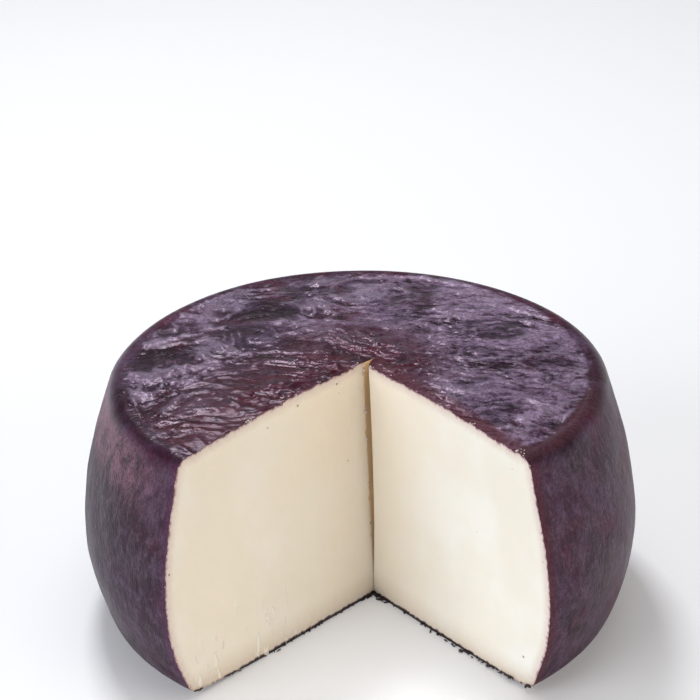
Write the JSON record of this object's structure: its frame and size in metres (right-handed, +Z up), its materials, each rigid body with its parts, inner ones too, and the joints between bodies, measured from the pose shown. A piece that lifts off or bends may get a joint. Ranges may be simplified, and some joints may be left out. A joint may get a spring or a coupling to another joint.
{
  "type": "cut cheese wheel",
  "caption": "Small bulging wheel of pressed cheese with a dark wine-washed rind, standing on its base, with one wedge cut out to its middle to show the ivory paste.",
  "frame": {"origin": "where the wheel's own upright axis meets the flat underside that it stands on", "axes": "+Z up along the wheel's axis, from the base to the top face; -Y towards the open side of the missing wedge, along its middle; +X to the right of the wedge as seen from its open side"},
  "size_m": [0.1792, 0.1594, 0.084],
  "materials": {
    "rind": "satin, finely wrinkled, cloth-marked wine-washed rind",
    "paste": "smooth, faintly moist cut cheese paste"
  },
  "bodies": {
    "root": {"cheese_wheel": "rind"}
  },
  "joints": []
}
